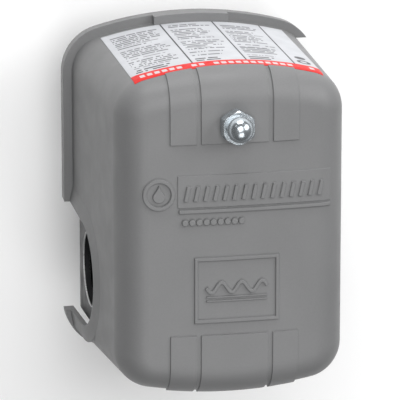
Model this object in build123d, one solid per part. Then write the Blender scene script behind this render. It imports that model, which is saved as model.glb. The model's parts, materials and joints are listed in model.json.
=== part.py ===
from build123d import *
import math
import os

# Pressure switch with a moulded cover, port downwards. All lengths are in millimetres, angles in degrees.
# Origin: centre of the pressure port's mouth. +Z runs up the port's axis to the cover nut's end.
# -Y is the label end, which also holds the range spring. The conduit entries open along +X and -X.

# ---- levels ----
RIM_Z = 26.0                # cover rim and underside of the base plate
PLATE_T = 2.0               # steel of the base plate and its flanges
DECK_Z = RIM_Z + PLATE_T    # top of the base plate

# ---- cover ----
COVER_H = 64.5              # rim to the middle of the top face
RIM_HALF_W = 37.3           # outside of the rim lip, across X
RIM_HALF_L = 52.2           # outside of the rim lip, along Y
LIP_OUT = 2.35              # how far the lip stands out of the wall
LIP_BACK_IN = 1.8           # how much less it stands out at the back end
LIP_H = 3.8
LIP_PAD_HALF_W = 11.0       # deeper middle stretch of the lip at the label end
LIP_PAD_H = 6.6
LIP_GAP_Y = -43.0           # the lip stops here on the -X side
WALL_HALF_W = RIM_HALF_W - LIP_OUT
WALL_HALF_L = RIM_HALF_L - LIP_OUT
DRAFT = 0.043               # wall lean, inwards per unit of height
WALL_T = 1.6
ROOF_T = 2.2
CORNER_R = 11.0
FRONT_BOW_R = 101.0         # bow of the label end's wall
BACK_BOW_R = 140.0          # bow of the other end's wall
BACK_SHORT = 1.1            # how much nearer to the port's axis the back wall's middle is
ROOF_R = 300.0              # bow of the top face, across X
EDGE_R = 9.0                # rounding between walls and top face
PAD_RISE = 0.5              # raised pads that wrap over both ends of the top
PAD_STRIPS = [(-18.3, -10.9), (-9.6, 9.6), (10.9, 18.3)]
PAD_FRONT_Y = -26.9         # where the pads start on the top face
PAD_BACK_Y = 28.0
PAD_FOOT = 57.6             # height above the rim where the pads stop on the end walls
NUT_Y = -32.0               # cover nut, range stud and range spring
SEAT_R = 4.3                # flat seat under the cover nut
SEAT_RISE = 0.3
ROOF_HOLE_R = 2.6           # for the stud
BOSS_R = 5.0                # inside, round that hole
BOSS_H = 8.0
RIB_T = 2.0                 # inside ribs that rest on the base plate
RIB_H = 55.0
FRONT_RIB_X = 15.0
BACK_RIB_X = 10.0
LABEL_T = 0.15
LABEL_HALF_W = 26.8
LABEL_LOW = 6.8             # label's edges above the rim
LABEL_HIGH = 57.2
NUT_AF = 8.8                # cover nut, across flats
NUT_HEX_H = 4.15
NUT_NECK_H = 1.2
NUT_DOME_R = 3.75
NUT_HOLE_R = 2.16
NUT_HOLE_H = 5.6
CORNER_RATIO = 1.13         # turned diameter of a nut's corners over its width across flats

# ---- conduit entries ----
ENTRY_Y = 19.3
ENTRY_Z = RIM_Z + 18.1
ENTRY_R = 11.1              # half-inch conduit knock-out
FLANGE_X = 32.45            # outer face of the base's upturned flanges
FLANGE_HALF_W = 16.0
FLANGE_FOOT_R = 3.0         # rounded lower corner of each flange at the back
BEND_R = 1.8
CUT_Y = 20.4                # centre of the cover's arched cut-outs
CUT_Z = RIM_Z + 17.7
CUT_R = 15.5
CUT_FRONT_FOOT = 1.8        # where the cut-out's legs meet the rim
CUT_BACK_FOOT = 35.3
HOOD_WIDTH = 4.9            # sloping hood round each cut-out
HOOD_CREST = 0.5            # level crest next to the cut-out
HOOD_RISE = 0.9
POCKET_GROW = 1.9           # pocket inside the hood, where the flange stands
POCKET_SKIN = 0.7           # pocket's depth, measured in from the outer wall

# ---- mechanism ----
PIVOT_Y = 12.0              # lever's pin
EAR_R = 4.0                 # the base's ears that hold that pin
EAR_X = 13.0
PIVOT_Z = DECK_Z + 6.5
PIN_R = 2.0
FIT = 0.06                  # radial clearance of a running fit
LEVER_Z = DECK_Z + 9.0
LEVER_T = 2.0
LEVER_TOP = LEVER_Z + LEVER_T
LEVER_HALF_W = 11.0
DIFF_Y = -14.0              # differential stud and spring
CARRIER_Y = 22.0            # contact carrier's pin
CARRIER_Z = DECK_Z + 9.0
CARRIER_PIN_R = 1.5
CONTACT_Y = 36.2
TERMINAL_Y = 42.3
TERMINAL_X = [-13.5, -4.5, 4.5, 13.5]
POLE_X = [-9.0, 9.0]        # middle of each pole, and the block's screws
STRAP_Z = DECK_Z + 12.0
STRAP_T = 1.2
BUTTON_R = 2.3
BUTTON_T = 1.0
BRIDGE_T = 0.8
ROOF_GAP = 5.0              # from the bridges' underside to the carrier's roof
CARRIER_HALF_W = 16.8
CARRIER_ROOF_T = 2.0
CLAMP_T = 1.0
TERMINAL_SCREW_R = 1.5
BLOCK_SCREW_Y = 27.0
BLOCK_HALF_W = 19.4
BLOCK_BACK = 44.4
BLOCK_FLOOR_T = 3.0
BLOCK_EAR_H = 14.0
BLOCK_POST_H = 19.0
RIB_PITCH = 2.6
GROUND_X = 26.0
GROUND_Y = -6.0
GROUND_WASHER_T = 1.0

# ---- studs and springs ----
RANGE_STUD_R = 3.0
RANGE_TIP_R = 2.08          # the stud's thinner end, which takes the cover nut
RANGE_SEAT_Z = DECK_Z + 38  # underside of the seat's brim
RANGE_SEAT_T = 1.6
RANGE_NUT_H = 5.5
RANGE_NUT_AF = 11.1
DIFF_STUD_R = 2.0
DIFF_SEAT_Z = DECK_Z + 26
DIFF_SEAT_T = 1.2
DIFF_NUT_H = 4.0
DIFF_NUT_AF = 7.0

# ---- pressure end ----
FLANGE_SIDE = 46.0
FLANGE_CORNER = 6.0
GUIDE_T = 5.0
DIAPHRAGM_T = 1.2
CASTING_T = 7.0
SCREW_X = 17.0
SCREW_R = 2.0
PORT_R = 5.55               # tapping hole for a quarter-inch pipe thread
PORT_DEPTH = 12.0
PASSAGE_R = 2.5
CHAMBER_R = 12.0
CHAMBER_DEPTH = 2.5
NECK_AF = 22.0
COLLAR_R = 14.5
COLLAR_H = 2.5
PISTON_R = 10.0
PISTON_STEM_R = 4.0
PISTON_GAP = 0.12           # from the resting piston to the lever
GUIDE_BOTTOM = RIM_Z - GUIDE_T
CASTING_TOP = GUIDE_BOTTOM - DIAPHRAGM_T
CASTING_BOTTOM = CASTING_TOP - CASTING_T
NUT_Z = RIM_Z + COVER_H + PAD_RISE + SEAT_RISE
BRIDGE_Z = STRAP_Z + STRAP_T + 2 * BUTTON_T
CARRIER_ROOF_Z = BRIDGE_Z + ROOF_GAP


def block(x0, x1, y0, y1, z0, z1):
    """Box between two corners."""
    centre = Pos((x0 + x1) / 2, (y0 + y1) / 2, (z0 + z1) / 2)
    return centre * Box(x1 - x0, y1 - y0, z1 - z0)


def rod(x, y, z0, z1, radius):
    """Upright cylinder."""
    return Pos(x, y, (z0 + z1) / 2) * Cylinder(radius, z1 - z0)


def cross_rod(y, z, x0, x1, radius):
    """Cylinder along X."""
    return Pos((x0 + x1) / 2, y, z) * Rot(0, 90, 0) * Cylinder(radius, x1 - x0)


def hexagon(x, y, z0, z1, across_flats):
    """Upright hexagonal prism with two flats facing +X and -X."""
    face = RegularPolygon(across_flats / 2, 6, major_radius=False, rotation=30)
    return Pos(x, y, z0) * extrude(face, z1 - z0)


def rounded_plate(half_x, half_y, corner, z0, z1):
    """Upright prism of a rounded rectangle about the Z axis."""
    return Pos(0, 0, z0) * extrude(RectangleRounded(2 * half_x, 2 * half_y, corner), z1 - z0)


def coil(x, y, z0, z1, mean_r, wire_r, turns):
    """Helical spring whose wire just fits between two levels."""
    height = z1 - z0 - 2 * wire_r
    path = Helix(pitch=height / turns, height=height, radius=mean_r)
    wire = sweep(Plane(origin=path @ 0, z_dir=path % 0) * Circle(wire_r), path=path, is_frenet=True)
    return Pos(x, y, z0 + wire_r) * wire


def arch(centre, radius, front_foot, back_foot, foot_z):
    """Arch with leaning legs in the local XY plane, where local X runs along Y and local Y runs up."""
    y, z = centre
    left = (front_foot, foot_z)
    right = (back_foot, foot_z)
    spring_left = (y - radius, z)
    spring_right = (y + radius, z)
    outline = Line(left, spring_left) + ThreePointArc(spring_left, (y, z + radius), spring_right)
    outline += Line(spring_right, right) + Line(right, left)
    return make_face(outline)


def cut_out(grow, base_z, foot_z):
    """Outline of the cover's cut-out, grown sideways, with heights measured from base_z."""
    centre = (CUT_Y, CUT_Z - base_z)
    return arch(centre, CUT_R + grow, CUT_FRONT_FOOT - grow, CUT_BACK_FOOT + grow, foot_z - base_z)


# ---- cover ----

def sagitta(radius, half_chord):
    """Height of an arc above its chord."""
    return radius - math.sqrt(radius ** 2 - half_chord ** 2)


def cover_outline(grow, corner, back_in=0.0):
    """Cover's plan at one level, with straight sides and bowed ends."""
    half_w = WALL_HALF_W + grow
    front = -(WALL_HALF_L + grow)
    back = WALL_HALF_L - BACK_SHORT + grow - back_in
    front_side = front + sagitta(FRONT_BOW_R, half_w)
    back_side = back - sagitta(BACK_BOW_R, half_w)
    edges = Line((half_w, front_side), (half_w, back_side))
    edges += ThreePointArc((half_w, back_side), (0, back), (-half_w, back_side))
    edges += Line((-half_w, back_side), (-half_w, front_side))
    edges += ThreePointArc((-half_w, front_side), (0, front), (half_w, front_side))
    plan = make_face(edges)
    return fillet(plan.vertices(), corner)


def cover_form(grow, top):
    """Solid outer form of the cover, grown sideways, with its top face at the given height above the rim."""
    loft_h = COVER_H + 4
    corner = CORNER_R + grow
    foot = Pos(0, 0, RIM_Z) * cover_outline(grow, corner)
    head = Pos(0, 0, RIM_Z + loft_h) * cover_outline(grow - DRAFT * loft_h, corner)
    body = loft([foot, head], ruled=True)
    side_drop = sagitta(ROOF_R, RIM_HALF_W)
    roof = Line((-RIM_HALF_W, 0), (RIM_HALF_W, 0)) + Line((RIM_HALF_W, 0), (RIM_HALF_W, top - side_drop))
    roof += ThreePointArc((RIM_HALF_W, top - side_drop), (0, top), (-RIM_HALF_W, top - side_drop))
    roof += Line((-RIM_HALF_W, top - side_drop), (-RIM_HALF_W, 0))
    profile = Plane(origin=(0, RIM_HALF_L + 5, RIM_Z), x_dir=(1, 0, 0), z_dir=(0, -1, 0)) * make_face(roof)
    body = body & extrude(profile, 2 * (RIM_HALF_L + 5))
    top_face = body.faces().sort_by(Axis.Z)[-1]
    return fillet(top_face.edges(), EDGE_R + grow)


def cover_pads():
    """Raised strips that wrap from the top face over the rounding onto each end wall."""
    skin = cover_form(PAD_RISE, COVER_H + PAD_RISE)
    strips = []
    for x0, x1 in PAD_STRIPS:
        for y0, y1 in ((-RIM_HALF_L, PAD_FRONT_Y), (PAD_BACK_Y, RIM_HALF_L)):
            strips.append(block(x0, x1, y0, y1, RIM_Z + PAD_FOOT, RIM_Z + COVER_H + 5))
    return [skin & strip for strip in strips]


def cover_lip(outer_form):
    """Lip round the rim, deeper in the middle of the label end and missing along part of the -X side."""
    plan = cover_outline(LIP_OUT, CORNER_R + LIP_OUT, LIP_BACK_IN)
    ring = Pos(0, 0, RIM_Z) * extrude(plan, LIP_H)
    deep = Pos(0, 0, RIM_Z) * extrude(plan, LIP_PAD_H)
    deep = deep & block(-LIP_PAD_HALF_W, LIP_PAD_HALF_W, -RIM_HALF_L - 1, -30, RIM_Z, RIM_Z + LIP_PAD_H)
    lip = ring + deep
    gap = block(-RIM_HALF_W - 1, -25, LIP_GAP_Y, CUT_Y, RIM_Z - 1, RIM_Z + LIP_H + 1)
    return lip - (gap - outer_form)


def on_side_wall(form, side):
    """Form drawn on the wall's plane, which leans in, placed on the +X or the -X side."""
    lean = math.atan(DRAFT)
    wall_x = WALL_HALF_W - DRAFT * (CUT_Z - RIM_Z)
    outward = (math.cos(lean), 0, math.sin(lean))
    placed = Plane(origin=(wall_x, 0, CUT_Z), x_dir=(0, 1, 0), z_dir=outward) * form
    return placed if side > 0 else mirror(placed, about=Plane.YZ)


def entry_hood(side):
    """Shallow sloping hood round one cut-out."""
    below = RIM_Z - 2
    wide = cut_out(HOOD_WIDTH, CUT_Z, below)
    narrow = Pos(0, 0, HOOD_RISE) * cut_out(HOOD_CREST, CUT_Z, below)
    root = Pos(0, 0, -WALL_T) * extrude(wide, WALL_T)
    hood = on_side_wall(loft([wide, narrow], ruled=True) + root, side)
    return hood & block(-RIM_HALF_W, RIM_HALF_W, -RIM_HALF_L, RIM_HALF_L, RIM_Z, RIM_Z + COVER_H)


def entry_pocket(side):
    """Space behind one hood, where the base's flange stands."""
    outline = cut_out(POCKET_GROW, CUT_Z, RIM_Z - 2)
    return on_side_wall(Pos(0, 0, -POCKET_SKIN - 3) * extrude(outline, 3), side)


def resting_ribs():
    """Four ribs down the inside of the end walls."""
    ribs = []
    for side in (-1, 1):
        x = side * FRONT_RIB_X
        ribs.append(block(x - RIB_T / 2, x + RIB_T / 2, -49, -40.6, DECK_Z, RIM_Z + RIB_H))
        x = side * BACK_RIB_X
        ribs.append(block(x - RIB_T / 2, x + RIB_T / 2, 44.8, 49, DECK_Z, RIM_Z + RIB_H))
    return ribs


def cover():
    """Moulded cover: thin shell with a lip, pads, hooded cut-outs, a nut seat and resting ribs."""
    roof = RIM_Z + COVER_H
    outer_form = cover_form(0, COVER_H)
    body = outer_form + cover_lip(outer_form)
    for pad in cover_pads():
        body += pad
    body += entry_hood(1)
    body += entry_hood(-1)
    body += rod(0, NUT_Y, roof - ROOF_T, NUT_Z, SEAT_R)
    cavity = cover_form(-WALL_T, COVER_H - ROOF_T) - rod(0, NUT_Y, roof - BOSS_H, roof, BOSS_R)
    for rib in resting_ribs():
        cavity -= rib
    body -= cavity
    body -= entry_pocket(1)
    body -= entry_pocket(-1)
    arch_plane = Plane(origin=(-RIM_HALF_W - 5, 0, 0), x_dir=(0, 1, 0), z_dir=(1, 0, 0))
    body -= extrude(arch_plane * cut_out(0, 0, RIM_Z - 2), 2 * (RIM_HALF_W + 5))
    return body - rod(0, NUT_Y, RIM_Z, roof + 5, ROOF_HOLE_R)


def label():
    """Thin sticker on the label end's bowed wall."""
    skin = cover_form(LABEL_T, COVER_H)
    front = block(-LABEL_HALF_W, LABEL_HALF_W, -RIM_HALF_L, -30, RIM_Z + LABEL_LOW, RIM_Z + LABEL_HIGH)
    sheet = skin & front
    return sheet - cover_form(0, COVER_H)


def chamfered_hexagon(x, y, z0, z1, across_flats, cut):
    """Hexagonal prism with its corners turned off at both ends."""
    turned = Pos(x, y, (z0 + z1) / 2) * Cylinder(across_flats / 2 * CORNER_RATIO, z1 - z0)
    turned = chamfer(turned.edges().filter_by(GeomType.CIRCLE), cut)
    return hexagon(x, y, z0, z1, across_flats) & turned


def acorn_nut():
    """Domed nut with a blind hole, flats facing +X and -X."""
    hex_top = NUT_Z + NUT_HEX_H
    dome_z = hex_top + NUT_NECK_H
    nut = chamfered_hexagon(0, NUT_Y, NUT_Z, hex_top, NUT_AF, 0.45)
    neck = rod(0, NUT_Y, hex_top - 0.1, dome_z, NUT_DOME_R)
    dome = Pos(0, NUT_Y, dome_z) * Sphere(NUT_DOME_R)
    dome = dome & rod(0, NUT_Y, dome_z, dome_z + NUT_DOME_R + 1, NUT_DOME_R + 1)
    return nut + neck + dome - rod(0, NUT_Y, NUT_Z - 1, NUT_Z + NUT_HOLE_H, NUT_HOLE_R)


# ---- base ----

def base_plate():
    """Flat plate with rounded front corners and a tongue under the terminal block."""
    plate = block(-FLANGE_X, FLANGE_X, -42, ENTRY_Y + FLANGE_HALF_W, RIM_Z, DECK_Z)
    plate = fillet(plate.edges().filter_by(Axis.Z).group_by(Axis.Y)[0], 9)
    tongue = block(-17, 17, 30, 45.8, RIM_Z, DECK_Z)
    return plate + fillet(tongue.edges().filter_by(Axis.Z).group_by(Axis.Y)[-1], 3)


def flange_foot_cut(side):
    """Waste outside the rounded lower corner of one flange."""
    y = ENTRY_Y + FLANGE_HALF_W
    z = RIM_Z + FLANGE_FOOT_R
    corner = block(-4, 1, y - FLANGE_FOOT_R, y + 1, RIM_Z - 1, z)
    return Pos(side * FLANGE_X, 0, 0) * (corner - cross_rod(y - FLANGE_FOOT_R, z, -5, 2, FLANGE_FOOT_R))


def base_holes():
    """Round holes through the plate, as centre and radius."""
    holes = [(0, 0, PISTON_STEM_R + 0.6), (0, NUT_Y, RANGE_STUD_R + 0.01), (0, DIFF_Y, DIFF_STUD_R + 0.01)]
    holes += [(x, y, SCREW_R + 0.05) for x in (-SCREW_X, SCREW_X) for y in (-SCREW_X, SCREW_X)]
    holes += [(x, BLOCK_SCREW_Y, TERMINAL_SCREW_R + 0.05) for x in POLE_X]
    return holes + [(x, GROUND_Y, SCREW_R + 0.05) for x in (-GROUND_X, GROUND_X)]


def base_frame():
    """Stamped plate with an upturned conduit flange on each side and two ears for the lever's pin."""
    flange_plane = Plane(origin=(FLANGE_X - PLATE_T, 0, 0), x_dir=(0, 1, 0), z_dir=(1, 0, 0))
    front = ENTRY_Y - FLANGE_HALF_W
    back = ENTRY_Y + FLANGE_HALF_W
    upright = extrude(flange_plane * arch((ENTRY_Y, ENTRY_Z), FLANGE_HALF_W, front, back, RIM_Z), PLATE_T)
    frame = base_plate() + upright + mirror(upright, about=Plane.YZ)
    bends = frame.edges().filter_by(Axis.Y).group_by(Axis.Z)[0]
    bends = [edge for edge in bends if abs(abs(edge.center().X) - FLANGE_X) < 0.01]
    frame = fillet(bends, BEND_R)
    for side in (-1, 1):
        ear = block(-1, 1, PIVOT_Y - EAR_R, PIVOT_Y + EAR_R, DECK_Z - 0.5, PIVOT_Z)
        ear += cross_rod(PIVOT_Y, PIVOT_Z, -1, 1, EAR_R)
        frame += Pos(side * EAR_X, 0, 0) * ear
        frame -= cross_rod(ENTRY_Y, ENTRY_Z, side * FLANGE_X - 4, side * FLANGE_X + 4, ENTRY_R)
        frame -= flange_foot_cut(side)
    frame -= cross_rod(PIVOT_Y, PIVOT_Z, -20, 20, PIN_R + 0.01)
    for x, y, radius in base_holes():
        frame -= rod(x, y, RIM_Z - 1, DECK_Z + 1, radius)
    return frame


def ground_screws():
    """Two pan-head ground screws with cupped washers, one beside each conduit entry."""
    seat = DECK_Z + GROUND_WASHER_T
    top = seat + 2.6
    screws = []
    for x in (-GROUND_X, GROUND_X):
        washer = rod(x, GROUND_Y, DECK_Z, seat, 5.0)
        head = rod(x, GROUND_Y, seat, top, 3.9)
        head = fillet(head.faces().sort_by(Axis.Z)[-1].edges(), 1.0)
        slot = block(x - 5, x + 5, GROUND_Y - 0.5, GROUND_Y + 0.5, top - 1.2, top + 1)
        screws.append(washer + (head - slot) + rod(x, GROUND_Y, RIM_Z - 0.8, seat, SCREW_R))
    return Compound(children=screws)


# ---- pressure end ----

def drilled(body):
    """Same body with clearance for the four flange screws."""
    for x in (-SCREW_X, SCREW_X):
        for y in (-SCREW_X, SCREW_X):
            body -= rod(x, y, 0, DECK_Z + 1, SCREW_R + 0.05)
    return body


def pressure_connector():
    """Cast flange with a hexagonal neck, a tapped port and a shallow pressure chamber."""
    half = FLANGE_SIDE / 2
    flange = rounded_plate(half, half, FLANGE_CORNER, CASTING_BOTTOM, CASTING_TOP)
    flange = fillet(flange.faces().sort_by(Axis.Z)[0].edges(), 1.5)
    turned = rod(0, 0, 0, CASTING_BOTTOM + 1, NECK_AF / 2 * CORNER_RATIO)
    turned = chamfer(turned.faces().sort_by(Axis.Z)[0].edges(), 1.6)
    neck = hexagon(0, 0, 0, CASTING_BOTTOM + 1, NECK_AF) & turned
    body = flange + neck + rod(0, 0, CASTING_BOTTOM - COLLAR_H, CASTING_BOTTOM + 1, COLLAR_R)
    body -= rod(0, 0, -1, PORT_DEPTH, PORT_R)
    body -= rod(0, 0, PORT_DEPTH - 1, CASTING_TOP, PASSAGE_R)
    body -= rod(0, 0, CASTING_TOP - CHAMBER_DEPTH, CASTING_TOP + 1, CHAMBER_R)
    return drilled(body)


def diaphragm():
    """Flat rubber diaphragm clamped between the casting and the guide plate."""
    half = FLANGE_SIDE / 2 - 0.3
    return drilled(rounded_plate(half, half, FLANGE_CORNER, CASTING_TOP, GUIDE_BOTTOM))


def guide_plate():
    """Thick plate under the base that guides the piston."""
    half = FLANGE_SIDE / 2
    body = rounded_plate(half, half, FLANGE_CORNER, GUIDE_BOTTOM, RIM_Z)
    return drilled(body) - rod(0, 0, GUIDE_BOTTOM - 1, RIM_Z + 1, PISTON_R + FIT)


def piston():
    """Disc on the diaphragm with a domed stem that pushes the lever."""
    top = LEVER_Z - PISTON_GAP
    dome_r = 10.0
    dome = Pos(0, 0, top - dome_r) * Sphere(dome_r)
    stem = rod(0, 0, RIM_Z - 2, top, PISTON_STEM_R) & (dome + rod(0, 0, 0, top - 2, 5))
    return stem + rod(0, 0, GUIDE_BOTTOM, RIM_Z - 1.5, PISTON_R)


def flange_screws():
    """Four screws that hold the casting, diaphragm and guide plate to the base."""
    screws = []
    for x in (-SCREW_X, SCREW_X):
        for y in (-SCREW_X, SCREW_X):
            head = rod(x, y, CASTING_BOTTOM - 2.8, CASTING_BOTTOM, 3.5)
            head = fillet(head.faces().sort_by(Axis.Z)[0].edges(), 0.5)
            socket = hexagon(x, y, CASTING_BOTTOM - 3, CASTING_BOTTOM - 1.2, 3.0)
            screws.append(head + rod(x, y, CASTING_BOTTOM - 0.5, DECK_Z, SCREW_R) - socket)
    return Compound(children=screws)


# ---- lever and adjusters ----

def lever():
    """Stamped operating lever: plate, two ears on the pin and a tail that trips the contacts."""
    plate = block(-LEVER_HALF_W, LEVER_HALF_W, -40.5, 15.5, LEVER_Z, LEVER_TOP)
    front = plate.edges().filter_by(Axis.Z).group_by(Axis.Y)[0]
    body = fillet(front, 5) + block(-5, 5, 15, 17.8, LEVER_Z, LEVER_TOP)
    for side in (-1, 1):
        ear = block(-1, 1, PIVOT_Y - 3.5, PIVOT_Y + 3.5, PIVOT_Z, LEVER_Z + 0.5)
        ear += cross_rod(PIVOT_Y, PIVOT_Z, -1, 1, 3.5)
        body += Pos(side * 10, 0, 0) * ear
        rail = block(-0.75, 0.75, -38, 7, LEVER_Z - 3, LEVER_Z + 0.5)
        body += Pos(side * 10.25, 0, 0) * rail
    body -= cross_rod(PIVOT_Y, PIVOT_Z, -12, 12, PIN_R + FIT)
    body -= rod(0, NUT_Y, LEVER_Z - 1, LEVER_TOP + 1, 4.2)
    return body - rod(0, DIFF_Y, LEVER_Z - 1, LEVER_TOP + 1, 3.0)


def lever_pin():
    """Pin across the base's ears."""
    pin = cross_rod(PIVOT_Y, PIVOT_Z, -15.5, 15.5, PIN_R)
    return chamfer(pin.edges().filter_by(GeomType.CIRCLE), 0.4)


def range_stud():
    """Threaded stud from the base, through the lever and spring, up into the cover nut."""
    shoulder = DECK_Z + 50
    head = rod(0, NUT_Y, RIM_Z - 1.8, RIM_Z, 5.0)
    shank = rod(0, NUT_Y, RIM_Z - 1, shoulder, RANGE_STUD_R)
    tip = rod(0, NUT_Y, shoulder, NUT_Z + NUT_HOLE_H - 0.8, RANGE_TIP_R)
    return head + shank + chamfer(tip.faces().sort_by(Axis.Z)[-1].edges(), 0.5)


def range_seat():
    """Cupped washer that the range spring pushes against."""
    cup = rod(0, NUT_Y, RANGE_SEAT_Z, RANGE_SEAT_Z + RANGE_SEAT_T, 9.0)
    cup += rod(0, NUT_Y, RANGE_SEAT_Z - 2.5, RANGE_SEAT_Z, 5.6)
    return cup - rod(0, NUT_Y, RANGE_SEAT_Z - 4, RANGE_SEAT_Z + 4, RANGE_STUD_R + FIT)


def adjusting_nut(y, bottom, height, across_flats, stud_r):
    """Hexagonal nut that turns on a stud."""
    body = chamfered_hexagon(0, y, bottom, bottom + height, across_flats, 0.5)
    return body - rod(0, y, bottom - 1, bottom + height + 1, stud_r + FIT)


def range_nut():
    """Nut on the range spring's seat."""
    return adjusting_nut(NUT_Y, RANGE_SEAT_Z + RANGE_SEAT_T, RANGE_NUT_H, RANGE_NUT_AF, RANGE_STUD_R)


def diff_stud():
    """Smaller stud of the differential spring, riveted flush under the base."""
    shank = rod(0, DIFF_Y, RIM_Z, DECK_Z + 36, DIFF_STUD_R)
    return chamfer(shank.faces().sort_by(Axis.Z)[-1].edges(), 0.4)


def diff_seat():
    """Washer on top of the differential spring."""
    washer = rod(0, DIFF_Y, DIFF_SEAT_Z, DIFF_SEAT_Z + DIFF_SEAT_T, 5.4)
    return washer - rod(0, DIFF_Y, DIFF_SEAT_Z - 1, DIFF_SEAT_Z + 3, DIFF_STUD_R + FIT)


def diff_nut():
    """Nut on the differential spring's washer."""
    return adjusting_nut(DIFF_Y, DIFF_SEAT_Z + DIFF_SEAT_T, DIFF_NUT_H, DIFF_NUT_AF, DIFF_STUD_R)


# ---- switching end ----

def terminal_block():
    """Moulded block: floor, two ears for the carrier's pin, four posts and the walls between them."""
    half = BLOCK_HALF_W
    body = block(-half, half, 19.4, BLOCK_BACK, DECK_Z, DECK_Z + BLOCK_FLOOR_T)
    for side in (-1, 1):
        ear_x = side * (half - 1.1)
        body += block(ear_x - 1.1, ear_x + 1.1, 17.6, BLOCK_BACK, DECK_Z, DECK_Z + BLOCK_EAR_H)
        for rib in range(7):
            y = 19.2 + RIB_PITCH * rib
            x = side * half
            body += block(x - 0.6, x + 0.6, y - 0.6, y + 0.6, DECK_Z, DECK_Z + BLOCK_EAR_H)
    body += block(-half, half, 31, BLOCK_BACK, DECK_Z, STRAP_Z)
    for x in (-18.5, -9, 0, 9, 18.5):
        body += block(x - 0.8, x + 0.8, 39, BLOCK_BACK, DECK_Z, DECK_Z + BLOCK_POST_H)
    body -= cross_rod(CARRIER_Y, CARRIER_Z, -25, 25, CARRIER_PIN_R + 0.01)
    for x in POLE_X:
        body -= rod(x, BLOCK_SCREW_Y, DECK_Z - 1, DECK_Z + BLOCK_FLOOR_T + 1, TERMINAL_SCREW_R + 0.05)
    for x in TERMINAL_X:
        body -= rod(x, TERMINAL_Y, STRAP_Z - 8, STRAP_Z + 1, TERMINAL_SCREW_R + 0.05)
    return body


def slotted_screw(x, y, seat, head_h, head_r, slot_w, length):
    """Small screw with a rounded, slotted head, standing on seat."""
    head = rod(x, y, seat, seat + head_h, head_r)
    head = fillet(head.faces().sort_by(Axis.Z)[-1].edges(), head_h / 4)
    slot = block(x - 4, x + 4, y - slot_w / 2, y + slot_w / 2, seat + head_h / 2, seat + head_h + 1)
    return (head - slot) + rod(x, y, seat - length, seat + 0.2, TERMINAL_SCREW_R)


def block_screws():
    """Two screws that hold the block to the base."""
    seat = DECK_Z + BLOCK_FLOOR_T
    return Compound(children=[slotted_screw(x, BLOCK_SCREW_Y, seat, 1.8, 2.9, 0.8, 5.5) for x in POLE_X])


def terminal_straps():
    """Four flat conductors from a fixed contact to its wire screw."""
    straps = []
    for x in TERMINAL_X:
        strap = block(x - 3.2, x + 3.2, 33, BLOCK_BACK, STRAP_Z, STRAP_Z + STRAP_T)
        straps.append(strap - rod(x, TERMINAL_Y, STRAP_Z - 1, STRAP_Z + 3, TERMINAL_SCREW_R + 0.05))
    return Compound(children=straps)


def buttons(z0):
    """Four contact buttons on the terminals' pitch."""
    return Compound(children=[rod(x, CONTACT_Y, z0, z0 + BUTTON_T, BUTTON_R) for x in TERMINAL_X])


def clamp_plates():
    """Four square wire clamps under the terminal screws."""
    plates = []
    z0 = STRAP_Z + STRAP_T
    for x in TERMINAL_X:
        plate = block(x - 3.1, x + 3.1, TERMINAL_Y - 2.8, BLOCK_BACK, z0, z0 + CLAMP_T)
        plates.append(plate - rod(x, TERMINAL_Y, z0 - 1, z0 + 2, TERMINAL_SCREW_R + 0.05))
    return Compound(children=plates)


def terminal_screws():
    """Four wire screws with slotted heads."""
    seat = STRAP_Z + STRAP_T + CLAMP_T
    return Compound(children=[slotted_screw(x, TERMINAL_Y, seat, 2.4, 2.6, 0.8, 8.2) for x in TERMINAL_X])


def contact_carrier():
    """Moulded carrier on its own pin, with a tail under the lever and a roof over the bridges."""
    half = CARRIER_HALF_W
    top = CARRIER_ROOF_Z + CARRIER_ROOF_T
    hub = cross_rod(CARRIER_Y, CARRIER_Z, -half, half, 2.9)
    tail = block(-4.5, 4.5, 16.8, CARRIER_Y, CARRIER_Z - 2.2, CARRIER_Z - 0.03)
    web = block(-half, half, CARRIER_Y, CARRIER_Y + 2.4, CARRIER_Z, top)
    roof = block(-half, half, CARRIER_Y, 38.5, CARRIER_ROOF_Z, top)
    edge = roof.edges().filter_by(Axis.X).group_by(Axis.Y)[-1]
    body = hub + tail + web + fillet(edge, 0.9)
    for x in POLE_X:
        body += rod(x, CONTACT_Y, CARRIER_ROOF_Z - 1.2, CARRIER_ROOF_Z + 0.5, 1.5)
    return body - cross_rod(CARRIER_Y, CARRIER_Z, -20, 20, CARRIER_PIN_R + FIT)


def carrier_pin():
    """Pin across the block's ears."""
    pin = cross_rod(CARRIER_Y, CARRIER_Z, -19.3, 19.3, CARRIER_PIN_R)
    return chamfer(pin.edges().filter_by(GeomType.CIRCLE), 0.3)


def contact_bridges():
    """Two strips, each joining a pair of moving contacts."""
    bridges = []
    for x in POLE_X:
        bridge = block(x - 7.2, x + 7.2, CONTACT_Y - 2.6, CONTACT_Y + 2.6, BRIDGE_Z, BRIDGE_Z + BRIDGE_T)
        bridges.append(bridge)
    return Compound(children=bridges)


def contact_springs():
    """Two small springs that press the bridges down."""
    z0 = BRIDGE_Z + BRIDGE_T
    return Compound(children=[coil(x, CONTACT_Y, z0, CARRIER_ROOF_Z, 2.1, 0.35, 4) for x in POLE_X])


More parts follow.
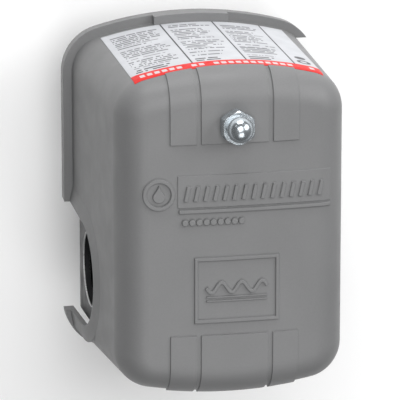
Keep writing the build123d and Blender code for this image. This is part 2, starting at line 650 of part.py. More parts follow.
def node_list():
    """Every node's name and shape."""
    return {
        "cover": cover(),
        "label": label(),
        "acorn_nut": acorn_nut(),
        "base_frame": base_frame(),
        "ground_screws": ground_screws(),
        "pressure_connector": pressure_connector(),
        "diaphragm": diaphragm(),
        "guide_plate": guide_plate(),
        "piston": piston(),
        "flange_screws": flange_screws(),
        "lever": lever(),
        "lever_pin": lever_pin(),
        "range_stud": range_stud(),
        "range_spring": coil(0, NUT_Y, LEVER_TOP, RANGE_SEAT_Z, 7.4, 1.3, 6.5),
        "range_seat": range_seat(),
        "range_nut": range_nut(),
        "diff_stud": diff_stud(),
        "diff_spring": coil(0, DIFF_Y, LEVER_TOP, DIFF_SEAT_Z, 4.3, 0.7, 6),
        "diff_seat": diff_seat(),
        "diff_nut": diff_nut(),
        "terminal_block": terminal_block(),
        "block_screws": block_screws(),
        "terminal_straps": terminal_straps(),
        "fixed_contacts": buttons(STRAP_Z + STRAP_T),
        "clamp_plates": clamp_plates(),
        "terminal_screws": terminal_screws(),
        "contact_carrier": contact_carrier(),
        "carrier_pin": carrier_pin(),
        "moving_contacts": buttons(STRAP_Z + STRAP_T + BUTTON_T),
        "contact_bridges": contact_bridges(),
        "contact_springs": contact_springs(),
        "snap_spring": coil(0, 27.9, DECK_Z + BLOCK_FLOOR_T, CARRIER_ROOF_Z, 2.0, 0.4, 9),
    }


def main():
    os.makedirs("parts", exist_ok=True)
    for name, shape in node_list().items():
        export_step(shape, os.path.join("parts", name + ".step"))
        print(name, "solids", len(shape.solids()), "volume", round(sum(s.volume for s in shape.solids())))


if __name__ == "__main__":
    main()
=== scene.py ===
import json
import math

import bmesh
import bpy
from mathutils import Matrix, Vector
from mathutils.bvhtree import BVHTree


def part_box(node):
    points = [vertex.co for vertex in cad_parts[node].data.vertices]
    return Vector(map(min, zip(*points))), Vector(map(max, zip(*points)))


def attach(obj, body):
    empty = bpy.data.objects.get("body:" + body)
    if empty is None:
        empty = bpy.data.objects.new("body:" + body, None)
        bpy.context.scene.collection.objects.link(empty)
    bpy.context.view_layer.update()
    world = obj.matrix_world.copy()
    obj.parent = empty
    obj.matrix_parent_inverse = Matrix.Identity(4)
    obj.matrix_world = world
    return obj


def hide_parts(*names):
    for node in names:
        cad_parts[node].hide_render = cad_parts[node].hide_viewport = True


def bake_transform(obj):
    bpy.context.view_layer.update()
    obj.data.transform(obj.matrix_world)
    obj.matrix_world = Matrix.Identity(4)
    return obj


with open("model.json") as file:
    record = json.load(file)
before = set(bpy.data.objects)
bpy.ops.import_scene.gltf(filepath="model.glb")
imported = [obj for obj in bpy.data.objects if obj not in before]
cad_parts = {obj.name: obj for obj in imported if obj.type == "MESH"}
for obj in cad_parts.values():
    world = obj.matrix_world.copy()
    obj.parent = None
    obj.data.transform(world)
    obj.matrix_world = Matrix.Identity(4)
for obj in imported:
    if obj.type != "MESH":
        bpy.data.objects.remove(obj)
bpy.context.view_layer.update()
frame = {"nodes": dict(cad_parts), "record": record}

NODES = frame["nodes"]
MM = 0.001
COVER_LO, COVER_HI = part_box("cover")
RIM_Z = COVER_LO.z                      # cover's rim, where the photograph measures height from
MOUNTS = {mount["name"]: mount for mount in frame["record"]["mounts"]}
ENTRY = Vector(MOUNTS["conduit_entry_plus_x"]["pos_m"])
ENTRY_R = MOUNTS["conduit_entry_plus_x"]["dims"]["r_mm"] * MM

# ---- camera, as solved from the photograph ----
TURN = math.radians(12.272)             # sideways lean of the view about Y
TILT = math.radians(14.088)             # lean of the view towards the label end
TARGET = Vector((0, 0, 0.051))
DISTANCE = 1.08545
LENS_MM = 339.17
SHIFT_X = -0.0122
SHIFT_Y = 0.0083
TO_CAMERA = Vector((math.sin(TURN) * math.cos(TILT), -math.sin(TILT), math.cos(TURN) * math.cos(TILT)))
UP = Vector((-math.sin(TURN) * math.sin(TILT), -math.cos(TILT), -math.cos(TURN) * math.sin(TILT)))
RIGHT = UP.cross(TO_CAMERA)


# ---- materials ----

class Shader:
    """One material, with short calls for the nodes used in this file."""

    def __init__(self, name, colour, rough, metal=0.0):
        self.mat = bpy.data.materials.new(name)
        self.mat.use_nodes = True
        self.tree = self.mat.node_tree
        self.bsdf = self.tree.nodes["Principled BSDF"]
        self.bsdf.inputs["Base Color"].default_value = (*colour, 1)
        self.bsdf.inputs["Roughness"].default_value = rough
        self.bsdf.inputs["Metallic"].default_value = metal
        self.place = self.node("ShaderNodeTexCoord").outputs["Object"]

    def node(self, kind, **settings):
        made = self.tree.nodes.new(kind)
        for key, value in settings.items():
            setattr(made, key, value)
        return made

    def feed(self, socket, value):
        if isinstance(value, bpy.types.NodeSocket):
            self.tree.links.new(value, socket)
        elif isinstance(value, (tuple, list)) and len(value) == 3 and socket.type == "RGBA":
            socket.default_value = (*value, 1)
        else:
            socket.default_value = value

    def math(self, operation, *values):
        made = self.node("ShaderNodeMath", operation=operation)
        for socket, value in zip(made.inputs, values):
            self.feed(socket, value)
        return made.outputs[0]

    def noise(self, size_mm, detail=2.0, stretch=(1, 1, 1), seed=0.0):
        """Noise from 0 to 1 whose patches are about size_mm across."""
        mapping = self.node("ShaderNodeMapping")
        self.feed(mapping.inputs["Vector"], self.place)
        scale = 1 / (size_mm * MM)
        mapping.inputs["Scale"].default_value = [scale / s for s in stretch]
        mapping.inputs["Location"].default_value = (seed, seed * 1.7, seed * 0.6)
        made = self.node("ShaderNodeTexNoise")
        made.inputs["Scale"].default_value = 1.0
        made.inputs["Detail"].default_value = detail
        self.feed(made.inputs["Vector"], mapping.outputs[0])
        return made.outputs["Fac"]

    def spread(self, value, low, high, out_low=0.0, out_high=1.0):
        """Maps low..high to out_low..out_high, clamped."""
        made = self.node("ShaderNodeMapRange")
        for name, number in (("From Min", low), ("From Max", high), ("To Min", out_low), ("To Max", out_high)):
            made.inputs[name].default_value = number
        self.feed(made.inputs["Value"], value)
        return made.outputs[0]

    def mix(self, share, first, second):
        made = self.node("ShaderNodeMix", data_type="RGBA")
        self.feed(made.inputs["Factor"], share)
        self.feed(made.inputs[6], first)
        self.feed(made.inputs[7], second)
        return made.outputs[2]

    def bevel(self, radius_mm):
        made = self.node("ShaderNodeBevel", samples=4)
        made.inputs["Radius"].default_value = radius_mm * MM
        return made.outputs[0]

    def edges(self, radius_mm):
        """1 on sharp edges, falling to 0 on flat faces."""
        geometry = self.node("ShaderNodeNewGeometry")
        dot = self.node("ShaderNodeVectorMath", operation="DOT_PRODUCT")
        self.feed(dot.inputs[0], self.bevel(radius_mm))
        self.feed(dot.inputs[1], geometry.outputs["Normal"])
        return self.spread(dot.outputs["Value"], 1.0, 0.8)

    def bump(self, height, strength, depth_mm, normal=None):
        made = self.node("ShaderNodeBump")
        made.inputs["Strength"].default_value = strength
        made.inputs["Distance"].default_value = depth_mm * MM
        self.feed(made.inputs["Height"], height)
        if normal is not None:
            self.feed(made.inputs["Normal"], normal)
        return made.outputs[0]

    def finish(self, colour=None, rough=None, normal=None):
        for name, value in (("Base Color", colour), ("Roughness", rough), ("Normal", normal)):
            if value is not None:
                self.feed(self.bsdf.inputs[name], value)
        return self.mat


BARE_STEEL = (0.5, 0.5, 0.5)
# Painted highlight colour for the ring round the conduit holes.
RIM_HIGHLIGHT = (0.8, 0.8, 0.8)


def shade(colour, factor):
    return tuple(min(1.0, c * factor) for c in colour)


def moulded(name, colour, rough, grain_mm, wear):
    """Moulded plastic: fine grain, faint flow marks, lighter rubbed edges and a few scuffs."""
    s = Shader(name, colour, rough)
    s.bsdf.inputs["Specular IOR Level"].default_value = 0.36
    flow = s.spread(s.noise(22, 3), 0.3, 0.7)
    tint = s.mix(flow, shade(colour, 0.955), shade(colour, 1.045))
    speck = s.spread(s.noise(0.5, 2, seed=4), 0.35, 0.65)
    tint = s.mix(s.math("MULTIPLY", speck, 0.12), tint, shade(colour, 1.3))
    rubbed = s.math("MULTIPLY", s.edges(0.35), s.spread(s.noise(2.5, 3, seed=2), 0.35, 0.7))
    tint = s.mix(s.math("MULTIPLY", rubbed, wear), tint, shade(colour, 1.7))
    scuff = s.spread(s.noise(3, 4, stretch=(9, 1, 1), seed=7), 0.66, 0.75)
    scuff = s.math("MULTIPLY", scuff, s.spread(s.noise(14, 1, seed=9), 0.55, 0.7))
    tint = s.mix(s.math("MULTIPLY", scuff, wear * 0.5), tint, shade(colour, 1.35))
    gloss = s.math("ADD", s.spread(s.noise(7, 3, seed=5), 0.3, 0.7, rough - 0.04, rough + 0.05),
                   s.math("MULTIPLY", scuff, -0.08))
    normal = s.bump(s.noise(40, 1, seed=3), 0.35, 0.6, s.bevel(0.28))
    normal = s.bump(s.noise(grain_mm, 3, seed=6), 0.16, 0.05, normal)
    return s.finish(tint, gloss, normal)


def metal(name, colour, rough, scratch, patch_mm, edge_mm, seed, share=1.0):
    """Plated or machined metal: cloudy plating, fine random scratches, brighter edges."""
    s = Shader(name, colour, rough, share)
    cloud = s.spread(s.noise(patch_mm, 4, seed=seed), 0.3, 0.72)
    tint = s.mix(cloud, shade(colour, 0.86), shade(colour, 1.08))
    tint = s.mix(s.math("MULTIPLY", s.edges(edge_mm), 0.5), tint, shade(colour, 1.3))
    lines = s.spread(s.noise(0.35, 2, stretch=(1, 14, 14), seed=seed + 1), 0.45, 0.75)
    other = s.spread(s.noise(0.35, 2, stretch=(14, 1, 5), seed=seed + 2), 0.5, 0.75)
    marks = s.math("MULTIPLY", s.math("MAXIMUM", lines, other), scratch)
    gloss = s.math("ADD", s.spread(cloud, 0, 1, rough * 0.85, rough * 1.3), s.math("MULTIPLY", marks, 0.12))
    normal = s.bump(marks, 0.25, 0.03, s.bevel(edge_mm))
    return s.finish(tint, gloss, normal)


def cast(name, colour, rough):
    """Die casting: dull pebbled skin with small pits."""
    s = Shader(name, colour, rough, 1.0)
    skin = s.noise(0.9, 4, seed=1)
    pit = s.spread(s.noise(0.45, 2, seed=5), 0.62, 0.72)
    tint = s.mix(s.spread(s.noise(6, 3), 0.3, 0.7), shade(colour, 0.82), shade(colour, 1.08))
    tint = s.mix(s.math("MULTIPLY", pit, 0.6), tint, shade(colour, 0.45))
    tint = s.mix(s.math("MULTIPLY", s.edges(0.3), 0.5), tint, shade(colour, 1.35))
    height = s.math("SUBTRACT", skin, s.math("MULTIPLY", pit, 0.8))
    normal = s.bump(height, 0.35, 0.08, s.bevel(0.25))
    return s.finish(tint, s.spread(skin, 0.3, 0.7, rough - 0.07, rough + 0.1), normal)


def steel_with_painted_shade(name, colour, rough):
    """Plated sheet steel, its colour darkened as painted shade, with bright worn edges and a painted highlight ring
    round the conduit holes.
    """
    s = Shader(name, colour, rough, 0.75)
    # Painted highlight: a bright ring on the flange's outer face just round each conduit hole, for light caught on
    # the hole's edge.
    split = s.node("ShaderNodeSeparateXYZ")
    s.feed(split.inputs[0], s.place)
    along = s.math("SUBTRACT", split.outputs["Y"], ENTRY.y)
    above = s.math("SUBTRACT", split.outputs["Z"], ENTRY.z)
    away = s.math("SQRT", s.math("ADD", s.math("MULTIPLY", along, along), s.math("MULTIPLY", above, above)))
    rim_highlight = s.spread(away, ENTRY_R + 0.1 * MM, ENTRY_R + 0.3 * MM, 1, 0)
    outer = s.math("GREATER_THAN", s.math("ABSOLUTE", split.outputs["X"]), ENTRY.x + 0.65 * MM)
    rim_highlight = s.math("MULTIPLY", rim_highlight, outer)
    cloud = s.spread(s.noise(5, 4), 0.3, 0.7)
    tint = s.mix(cloud, shade(colour, 0.8), shade(colour, 1.25))
    worn = s.math("MULTIPLY", s.edges(0.22), s.spread(s.noise(1.2, 3, seed=3), 0.3, 0.6))
    tint = s.mix(worn, tint, BARE_STEEL)
    patchy = s.spread(s.noise(0.7, 3, seed=9), 0.25, 0.5, 0.3, 1)
    tint = s.mix(s.math("MULTIPLY", rim_highlight, patchy), tint, RIM_HIGHLIGHT)
    lines = s.spread(s.noise(0.4, 2, stretch=(1, 12, 12), seed=2), 0.5, 0.75)
    gloss = s.math("ADD", s.spread(cloud, 0, 1, rough - 0.05, rough + 0.08), s.math("MULTIPLY", lines, 0.1))
    normal = s.bump(lines, 0.2, 0.03, s.bevel(0.2))
    return s.finish(tint, gloss, normal)


def rubber():
    """Matte black rubber sheet with a faint fabric print."""
    s = Shader("rubber_sheet", (0.028, 0.028, 0.028), 0.8)
    grain = s.noise(0.6, 3)
    tint = s.mix(s.spread(grain, 0.3, 0.7), (0.022, 0.022, 0.022), (0.04, 0.04, 0.041))
    return s.finish(tint, s.spread(grain, 0.3, 0.7, 0.7, 0.88), s.bump(grain, 0.3, 0.08, s.bevel(0.2)))


LABEL_BAND = 51.8                       # height above the rim where the red band starts
LABEL_LINES = (9.4, -5.96, -19.86)      # thin upright dividers
LABEL_LINE_HALF = 0.22
LABEL_HALF = 26.8
LABEL_COLUMNS = ((11.0, 25.0), (-4.4, 7.9), (-18.3, -7.4))
SMALL_PRINT = ((8.5, 22, 0.8), (24, 35, 0.75), (37, 46.5, 0.8))     # low, high, strength of ink
BOLD_PRINT = ((22.3, 24), (35.2, 37), (47.2, 50.9))
DISC_X = -23.4
DISCS = ((48.0, 2.0, 1.0), (43.2, 1.6, 0.0))                        # height, outer and inner radius
PAPER_DARK = (0.47, 0.48, 0.505)
PAPER_LIGHT = (0.53, 0.54, 0.565)
INK_BLACK = (0.035, 0.035, 0.04)
BAND_RED = (0.62, 0.012, 0.010)
BAND_WHITE = (0.55, 0.55, 0.56)
BAND_DASH = 2.1                         # pitch of the band's white dashes


def label_print():
    """White film with a red band, dividers and rows of meaningless dashes."""
    s = Shader("label_print", (0.5, 0.51, 0.53), 0.5)
    s.bsdf.inputs["Specular IOR Level"].default_value = 0.25
    split = s.node("ShaderNodeSeparateXYZ")
    s.feed(split.inputs[0], s.place)
    u = s.math("MULTIPLY", split.outputs["X"], 1 / MM)
    t = s.math("MULTIPLY", s.math("SUBTRACT", split.outputs["Z"], RIM_Z), 1 / MM)

    def inside(value, low, high, soft=0.08):
        rise = s.spread(value, low - soft, low + soft)
        fall = s.spread(value, high - soft, high + soft, 1, 0)
        return s.math("MULTIPLY", rise, fall)

    def cells(value, pitch):
        steps = s.math("DIVIDE", value, pitch)
        return s.math("FLOOR", steps), s.math("FRACT", steps)

    def chance(first, second, third):
        white = s.node("ShaderNodeTexWhiteNoise", noise_dimensions="3D")
        joined = s.node("ShaderNodeCombineXYZ")
        for socket, value in zip(joined.inputs, (first, second, third)):
            s.feed(socket, value)
        s.feed(white.inputs["Vector"], joined.outputs[0])
        return white.outputs["Value"]

    def rows(low, high, pitch, dash, left, right, ink, seed):
        """Rows of short dashes between two margins, with ragged ends."""
        row, across = cells(t, pitch)
        cell, _ = cells(u, dash)
        stroke = s.math("MULTIPLY", inside(across, 0.28, 0.78, 0.12), inside(t, low, high))
        dashes = s.math("LESS_THAN", chance(cell, row, seed), 0.78)
        ragged = s.math("MULTIPLY_ADD", chance(row, seed, 3.0), 4.0, left)
        kept = s.math("MULTIPLY", s.math("GREATER_THAN", u, ragged), s.math("LESS_THAN", u, right))
        shown = s.math("GREATER_THAN", chance(row, 5.0, seed), 0.12)
        out = s.math("MULTIPLY", s.math("MULTIPLY", stroke, dashes), s.math("MULTIPLY", kept, shown))
        return s.math("MULTIPLY", out, ink)

    paper = s.mix(s.spread(s.noise(9, 2), 0.3, 0.7), PAPER_DARK, PAPER_LIGHT)
    ink = None
    for number, (left, right) in enumerate(LABEL_COLUMNS):
        for low, high, weight in SMALL_PRINT:
            text = rows(low, high, 1.75, 0.42, left, right, weight, number * 3.1 + low)
            ink = text if ink is None else s.math("MAXIMUM", ink, text)
        for low, high in BOLD_PRINT:
            bold = rows(low, high, 1.9, 0.7, left + 2.5, right, 1.0, number * 2.3 + low)
            ink = s.math("MAXIMUM", ink, bold)
    for line in LABEL_LINES:
        across = inside(u, line - LABEL_LINE_HALF, line + LABEL_LINE_HALF, 0.05)
        rule = s.math("MULTIPLY", across, s.math("LESS_THAN", t, LABEL_BAND))
        ink = s.math("MAXIMUM", ink, rule)
    disc_x = s.math("ADD", u, -DISC_X)
    for height, outer, inner in DISCS:
        away = s.math("SUBTRACT", t, height)
        squares = s.math("ADD", s.math("MULTIPLY", disc_x, disc_x), s.math("MULTIPLY", away, away))
        reach = s.math("SQRT", squares)
        ink = s.math("MAXIMUM", ink, s.math("MULTIPLY", inside(reach, inner, outer, 0.1), 0.9))
    colour = s.mix(ink, paper, INK_BLACK)
    band = s.spread(t, LABEL_BAND - 0.08, LABEL_BAND + 0.08)
    colour = s.mix(band, colour, BAND_RED)
    cell, part = cells(u, BAND_DASH)
    marks = s.math("MULTIPLY", inside(t, LABEL_BAND + 1.6, LABEL_BAND + 3.8), inside(part, 0.16, 0.84, 0.05))
    marks = s.math("MULTIPLY", marks, s.math("GREATER_THAN", chance(cell, 2.0, 8.0), 0.2))
    marks = s.math("MULTIPLY", marks, inside(u, -LABEL_HALF + 2, LABEL_HALF - 2))
    colour = s.mix(s.math("MULTIPLY", marks, 0.9), colour, BAND_WHITE)
    rough = s.spread(s.noise(1.5, 3, seed=2), 0.3, 0.7, 0.46, 0.58)
    return s.finish(colour, rough, s.bump(s.noise(12, 2, seed=5), 0.2, 0.08))


FINISH = {
    "cover_plastic": moulded("cover_plastic", (0.170, 0.171, 0.173), rough=0.46, grain_mm=0.35, wear=0.35),
    "label_film": label_print(),
    "bright_steel": metal("bright_zinc", (0.46, 0.50, 0.53), rough=0.2, scratch=0.35, patch_mm=2.0,
                          edge_mm=0.2, seed=3, share=0.75),
    "plated_steel": metal("plated_steel", (0.50, 0.51, 0.52), rough=0.3, scratch=0.7, patch_mm=4.0,
                          edge_mm=0.18, seed=5),
    # dark_steel's near-black colour is painted shade: the plated flange is lighter steel darkened for the shadow it
    # sits in.
    "dark_steel": steel_with_painted_shade("dark_steel", (0.034, 0.034, 0.036), rough=0.42),
    "die_casting": cast("die_casting", (0.50, 0.51, 0.52), rough=0.48),
    "rubber": rubber(),
    "spring_steel": metal("spring_steel", (0.36, 0.36, 0.37), rough=0.27, scratch=0.8, patch_mm=1.5,
                          edge_mm=0.1, seed=8),
    "black_moulding": moulded("black_moulding", (0.022, 0.022, 0.024), rough=0.42, grain_mm=0.5, wear=0.22),
    "brass": metal("brass", (0.68, 0.48, 0.20), rough=0.26, scratch=0.6, patch_mm=2.5, edge_mm=0.12, seed=11),
    "copper": metal("copper", (0.70, 0.36, 0.22), rough=0.3, scratch=0.6, patch_mm=2.0, edge_mm=0.12, seed=14),
    "silver": metal("silver", (0.82, 0.81, 0.78), rough=0.24, scratch=0.4, patch_mm=1.2, edge_mm=0.12, seed=17),
    "green_steel": metal("green_screw", (0.05, 0.30, 0.11), rough=0.3, scratch=0.6, patch_mm=1.5,
                         edge_mm=0.2, seed=20),
}
SLOT_OF = {part["node"]: part["material_slot"] for part in frame["record"]["subparts"]}


def dress_nodes():
    for name, node in NODES.items():
        node.data.materials.clear()
        node.data.materials.append(FINISH[SLOT_OF[name]])


# ---- raised marks on the cover's top ----

cover_mesh = NODES["cover"].data
TOP = BVHTree.FromPolygons([v.co for v in cover_mesh.vertices], [p.vertices for p in cover_mesh.polygons])


def top_z(x, y):
    """Height of the cover's outer surface above a point of the plan, in metres."""
    hit = TOP.ray_cast(Vector((x, y, COVER_HI.z + 0.01)), Vector((0, 0, -1)))
    return hit[0].z


def ribbon(mesh, points, width, rise, closed=False):
    """Raised band along a line of the plan, in millimetres, that follows the cover's surface."""
    half, count = width / 2, len(points)
    soft = min(0.14, half * 0.4)
    profile = [(-half, -0.25), (-half + soft * 0.3, rise - soft), (-half + soft, rise)]
    profile += [(-across, up) for across, up in reversed(profile)]
    rings = []
    for i, point in enumerate(points):
        before = points[i - 1] if closed or i else point
        after = points[(i + 1) % count] if closed or i < count - 1 else point
        into, out = Vector(point) - Vector(before), Vector(after) - Vector(point)
        into = (into if into.length > 1e-6 else out).normalized()
        out = (out if out.length > 1e-6 else into).normalized()
        side = Vector((-into.y - out.y, into.x + out.x)).normalized()
        side /= max(0.3, side.dot(Vector((-into.y, into.x))))
        ring = []
        for across, up in profile:
            x, y = (point[0] + side.x * across) * MM, (point[1] + side.y * across) * MM
            ring.append(mesh.verts.new((x, y, top_z(x, y) + up * MM)))
        rings.append(ring)
    pairs = list(zip(rings, rings[1:])) + ([(rings[-1], rings[0])] if closed else [])
    for first, second in pairs:
        for j in range(len(profile) - 1):
            mesh.faces.new((first[j], second[j], second[j + 1], first[j + 1]))
        mesh.faces.new((first[-1], second[-1], second[0], first[0]))
    if not closed:
        mesh.faces.new(list(reversed(rings[0])))
        mesh.faces.new(rings[-1])


def bridge(mesh, rings):
    """Joins each closed ring of corners to the next one."""
    for first, second in zip(rings, rings[1:]):
        for i in range(len(first)):
            j = (i + 1) % len(first)
            mesh.faces.new((first[i], first[j], second[j], second[i]))


def stamp(mesh, outline, rise):
    """Small filled raised shape, in millimetres, with a softened top edge."""
    centre = Vector((sum(p[0] for p in outline), sum(p[1] for p in outline))) / len(outline)
    rings = []
    for inset, up in ((0, -0.25), (0.05, rise - 0.12), (0.16, rise)):
        ring = []
        for point in outline:
            away = Vector(point) - centre
            corner = centre + away * max(0, 1 - inset / max(away.length, 0.2))
            x, y = corner.x * MM, corner.y * MM
            ring.append(mesh.verts.new((x, y, top_z(x, y) + up * MM)))
        rings.append(ring)
    bridge(mesh, rings)
    mesh.faces.new(rings[-1])
    mesh.faces.new(list(reversed(rings[0])))


def line(x0, y0, x1, y1, step=2.0):
    """Points of a straight run, close enough together to follow the surface."""
    count = max(1, round(math.hypot(x1 - x0, y1 - y0) / step))
    return [(x0 + (x1 - x0) * i / count, y0 + (y1 - y0) * i / count) for i in range(count + 1)]


def circle(x, y, radius, count=48):
    return [(x + radius * math.cos(2 * math.pi * i / count), y + radius * math.sin(2 * math.pi * i / count))
            for i in range(count)]


def drop(x, y, radius):
    """Outline of a drop with its point towards the label end."""
    points = []
    for i in range(28):
        angle = 2 * math.pi * i / 28
        pull = max(0.0, math.cos(angle)) ** 3
        points.append((x + radius * math.sin(angle) * (1 - 0.75 * pull),
                       y - radius * math.cos(angle) * (1 + 0.8 * pull)))
    return points


def placed(name, data):
    """New object in the scene."""
    made = bpy.data.objects.new(name, data)
    bpy.context.scene.collection.objects.link(made)
    return made


def finished(name, mesh, slot_name, body, smooth=40):
    """Object from a bmesh, shaded smooth except at sharp edges. It rides on body, or on nothing if that is None."""
    bmesh.ops.recalc_face_normals(mesh, faces=mesh.faces)
    data = bpy.data.meshes.new(name)
    mesh.to_mesh(data)
    mesh.free()
    for face in data.polygons:
        face.use_smooth = True
    data.set_sharp_from_angle(angle=math.radians(smooth))
    piece = placed(name, data)
    data.materials.append(FINISH[slot_name])
    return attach(piece, body) if body else piece


def relief(name, draw):
    mesh = bmesh.new()
    draw(mesh)
    finished(name, mesh, "cover_plastic", "cover")


ROUNDEL_X = 21.5
ROUNDEL_Y = -13.0
DROP_Y = -12.4
RIB_COUNT = 15
RIB_PITCH = 2.72
FIRST_RIB_X = 13.6
STUD_COUNT = 9
STUD_PITCH = 2.0
FIRST_STUD_X = 14.2
STUD_Y = -4.75
FRAME = ((-12.15, 5.95), (11.05, 5.95), (11.05, 23.85), (-12.15, 23.85))
WAVE_LEFT = -9.2
WAVE_RIGHT = 8.2
WAVE_LENGTH = 17.4
WAVE_Y = 14.2
WAVE_RISE = 1.45
WAVE_CRESTS = 3
WAVE_STEPS = 48


def draw_roundel(mesh):
    """Ring with a drop in it."""
    ribbon(mesh, circle(ROUNDEL_X, ROUNDEL_Y, 3.95), 1.2, 0.7, closed=True)
    stamp(mesh, drop(ROUNDEL_X, DROP_Y, 1.75), 0.75)


def draw_strip(mesh):
    """Thin raised panel with a row of ribs, a long bar and a short row of studs."""
    ribbon(mesh, line(16.2, -13.55, -27.7, -13.55), 9.3, 0.3)
    ribbon(mesh, line(15.9, -7.95, -27.5, -7.95), 1.1, 0.8)
    for i in range(RIB_COUNT):
        x = FIRST_RIB_X - RIB_PITCH * i
        ribbon(mesh, [(x + 0.45, -10.9), (x - 0.45, -15.0)], 1.25, 0.95)
    for i in range(STUD_COUNT):
        stamp(mesh, circle(FIRST_STUD_X - STUD_PITCH * i, STUD_Y, 0.95, 20), 0.8)


def draw_plaque(mesh):
    """Picture-frame border with a wave over two fine lines."""
    border = []
    for i, corner in enumerate(FRAME):
        after = FRAME[(i + 1) % len(FRAME)]
        border += line(*corner, *after)[:-1]
    ribbon(mesh, border, 1.1, 0.65, closed=True)
    wave = []
    for i in range(WAVE_STEPS + 1):
        up = WAVE_RISE * math.sin(2 * math.pi * WAVE_CRESTS * i / WAVE_STEPS)
        wave.append((WAVE_RIGHT - WAVE_LENGTH * i / WAVE_STEPS, WAVE_Y + up))
    ribbon(mesh, wave, 1.05, 0.7)
    for y in (17.0, 18.1):
        ribbon(mesh, line(WAVE_RIGHT, y, WAVE_LEFT, y), 0.5, 0.5)


relief("cover_roundel", draw_roundel)
relief("cover_ribbed_strip", draw_strip)
relief("cover_plaque", draw_plaque)


# ---- springs ----

SPLIT = 0.6                             # share of a spring's wire in its lower piece
SPRING_TURNS = 6.5
STEPS_PER_TURN = 28
WIRE_SIDES = 10
CLOSED_TURNS = 0.9                      # length of each closed end, in turns
CLOSED_RISE = 0.22                      # how steep a closed end is, as a share of the free coils
RANGE_WIRE_R = 0.0013
DIFF_WIRE_R = 0.0007


def coil_rings(centre, low, high, mean_r, wire_r):
    """Points of the wire's sections from the bottom coil to the top one, the end coils closed."""
    turns, sides = SPRING_TURNS, WIRE_SIDES
    steps = round(turns * STEPS_PER_TURN)
    rise = high - low - 2 * wire_r
    travel = []
    for i in range(steps + 1):
        turn = turns * i / steps
        near = min(turn, turns - turn)
        travel.append(CLOSED_RISE if near < CLOSED_TURNS else 1.0)
    total = sum(travel[1:])
    rings, height = [], 0.0
    for i in range(steps + 1):
        height += travel[i] / total if i else 0
        angle = 2 * math.pi * turns * i / steps
        out = Vector((math.cos(angle), math.sin(angle), 0))
        hub = Vector((centre[0], centre[1], low + wire_r + rise * height)) + out * mean_r
        rings.append([hub + out * wire_r * math.cos(2 * math.pi * k / sides)
                      + Vector((0, 0, wire_r * math.sin(2 * math.pi * k / sides))) for k in range(sides)])
    return rings


def wire(name, points):
    """Piece of round wire through section points, in place and riding on nothing."""
    mesh = bmesh.new()
    rings = [[mesh.verts.new(point) for point in ring] for ring in points]
    bridge(mesh, rings)
    mesh.faces.new(rings[0])
    mesh.faces.new(list(reversed(rings[-1])))
    return finished(name, mesh, "spring_steel", None, 60)


def spring_for(node, wire_r):
    """Finer spring in the place of a CAD spring, made as a lower and an upper piece that ride on nothing."""
    low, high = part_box(node)
    x, y = (low.x + high.x) / 2, (low.y + high.y) / 2
    rings = coil_rings((x, y), low.z, high.z, (high.x - low.x) / 2 - wire_r, wire_r)
    cut = round(SPLIT * (len(rings) - 1))
    lower = wire(node + "_wire_lower", rings[:cut + 1])
    upper = wire(node + "_wire_upper", rings[cut:])
    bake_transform(lower)
    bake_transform(upper)
    for piece in (lower, upper):
        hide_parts(node)


spring_for("range_spring", RANGE_WIRE_R)
spring_for("diff_spring", DIFF_WIRE_R)


# ---- threaded studs ----

PITCH_STEPS = 6
STUD_SIDES = 26


def threaded_stud(node, runs):
    """Stud turned from runs of (low, high, outer radius, thread depth, pitch), in millimetres from its foot."""
    low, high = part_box(node)
    x, y = (low.x + high.x) / 2, (low.y + high.y) / 2
    mesh = bmesh.new()
    rings = []
    for start, end, outer, depth, pitch in runs:
        step = pitch / PITCH_STEPS if depth else end - start
        count = max(1, round((end - start) / step))
        for i in range(count + 1):
            up = start + (end - start) * i / count
            fade = min(1.0, i / PITCH_STEPS, (count - i) / PITCH_STEPS) if depth else 0.0
            ring = []
            for k in range(STUD_SIDES):
                share = (up / pitch - k / STUD_SIDES) % 1.0 if depth else 0.0
                valley = 1 - abs(2 * share - 1)
                radius = outer - depth * fade * max(0.0, min(1.0, 1.5 * valley - 0.25))
                angle = 2 * math.pi * k / STUD_SIDES
                side_x, side_y = radius * math.cos(angle) * MM, radius * math.sin(angle) * MM
                ring.append(mesh.verts.new((x + side_x, y + side_y, low.z + up * MM)))
            rings.append(ring)
    bridge(mesh, rings)
    mesh.faces.new(list(reversed(rings[0])))
    mesh.faces.new(rings[-1])
    piece = finished(node + "_threaded", mesh, "plated_steel", "base", 35)
    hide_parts(node)


def height_mm(node):
    low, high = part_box(node)
    return (high.z - low.z) / MM


STUD_LENGTH = height_mm("range_stud")
DIFF_LENGTH = height_mm("diff_stud")
threaded_stud("range_stud", [(0.0, 0.3, 4.75, 0, 1), (0.3, 1.8, 5.0, 0, 1), (1.8, 12.0, 2.99, 0, 1),
                             (12.0, 53.4, 2.99, 0.42, 1.27), (53.4, 53.8, 2.6, 0, 1),
                             (53.8, STUD_LENGTH - 0.5, 2.08, 0.26, 0.8),
                             (STUD_LENGTH - 0.5, STUD_LENGTH, 1.6, 0, 1)])
threaded_stud("diff_stud", [(0.0, 10.0, 2.0, 0, 1), (10.0, DIFF_LENGTH - 0.4, 2.0, 0.3, 0.7),
                            (DIFF_LENGTH - 0.4, DIFF_LENGTH, 1.6, 0, 1)])

dress_nodes()


# ---- studio ----

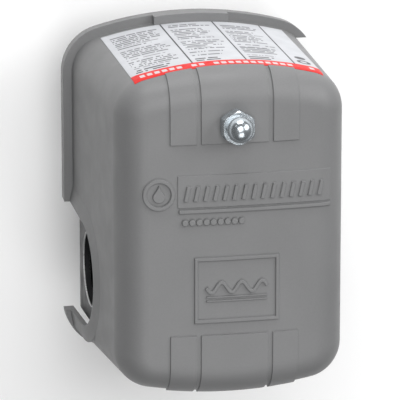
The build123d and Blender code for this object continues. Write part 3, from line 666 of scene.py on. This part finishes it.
def area_light(name, offset, distance, width, height, power):
    """Softbox in camera directions (right, up, towards the camera), aimed at the object."""
    data = bpy.data.lights.new(name, "AREA")
    data.shape = "RECTANGLE"
    data.size, data.size_y = width, height
    data.energy = power
    lamp = placed(name, data)
    way = (RIGHT * offset[0] + UP * offset[1] + TO_CAMERA * offset[2]).normalized()
    lamp.location = TARGET + way * distance
    lamp.rotation_mode = "QUATERNION"
    lamp.rotation_quaternion = (-way).to_track_quat("-Z", "Y")


FLOOR_HALF = 3.0
FLOOR_GLOW = 0.06
WORLD_STRENGTH = 0.01


def make_stage():
    mesh = bmesh.new()
    bmesh.ops.create_grid(mesh, x_segments=2, y_segments=2, size=FLOOR_HALF)
    data = bpy.data.meshes.new("floor")
    mesh.to_mesh(data)
    mesh.free()
    floor = placed("floor", data)
    s = Shader("floor_paper", (0.9, 0.9, 0.9), 0.9)
    s.bsdf.inputs["Emission Color"].default_value = (1, 1, 1, 1)
    s.bsdf.inputs["Emission Strength"].default_value = FLOOR_GLOW
    tint = s.mix(s.spread(s.noise(400, 2), 0.3, 0.7), (0.9, 0.9, 0.9), (0.92, 0.92, 0.92))
    data.materials.append(s.finish(tint))


def make_world():
    world = bpy.data.worlds.new("studio")
    world.use_nodes = True
    background = world.node_tree.nodes["Background"]
    background.inputs["Color"].default_value = (0.95, 0.97, 1.0, 1)
    background.inputs["Strength"].default_value = WORLD_STRENGTH
    bpy.context.scene.world = world


def make_camera():
    data = bpy.data.cameras.new("camera")
    data.sensor_width = 36
    data.lens = LENS_MM
    data.shift_x, data.shift_y = SHIFT_X, SHIFT_Y
    data.clip_start, data.clip_end = 0.05, 20
    camera = placed("camera", data)
    turn = Matrix((RIGHT, UP, TO_CAMERA)).transposed()
    camera.matrix_world = Matrix.Translation(TARGET + TO_CAMERA * DISTANCE) @ turn.to_4x4()
    bpy.context.scene.camera = camera


make_stage()
make_world()
make_camera()
area_light("softbox_top", (0.0, 0.9, 0.45), 0.75, 0.55, 0.32, 3.3)
area_light("softbox_right", (0.78, 0.33, 0.54), 0.75, 0.4, 0.5, 3.1)
area_light("softbox_left", (-0.5, 0.5, 0.7), 0.85, 0.12, 0.12, 0.12)
area_light("softbox_front", (0.05, 0.1, 1.0), 0.9, 0.6, 0.6, 5.1)
area_light("softbox_low", (0.2, -0.7, 0.7), 0.8, 0.5, 0.5, 2.4)
bpy.context.scene.view_settings.view_transform = "Standard"
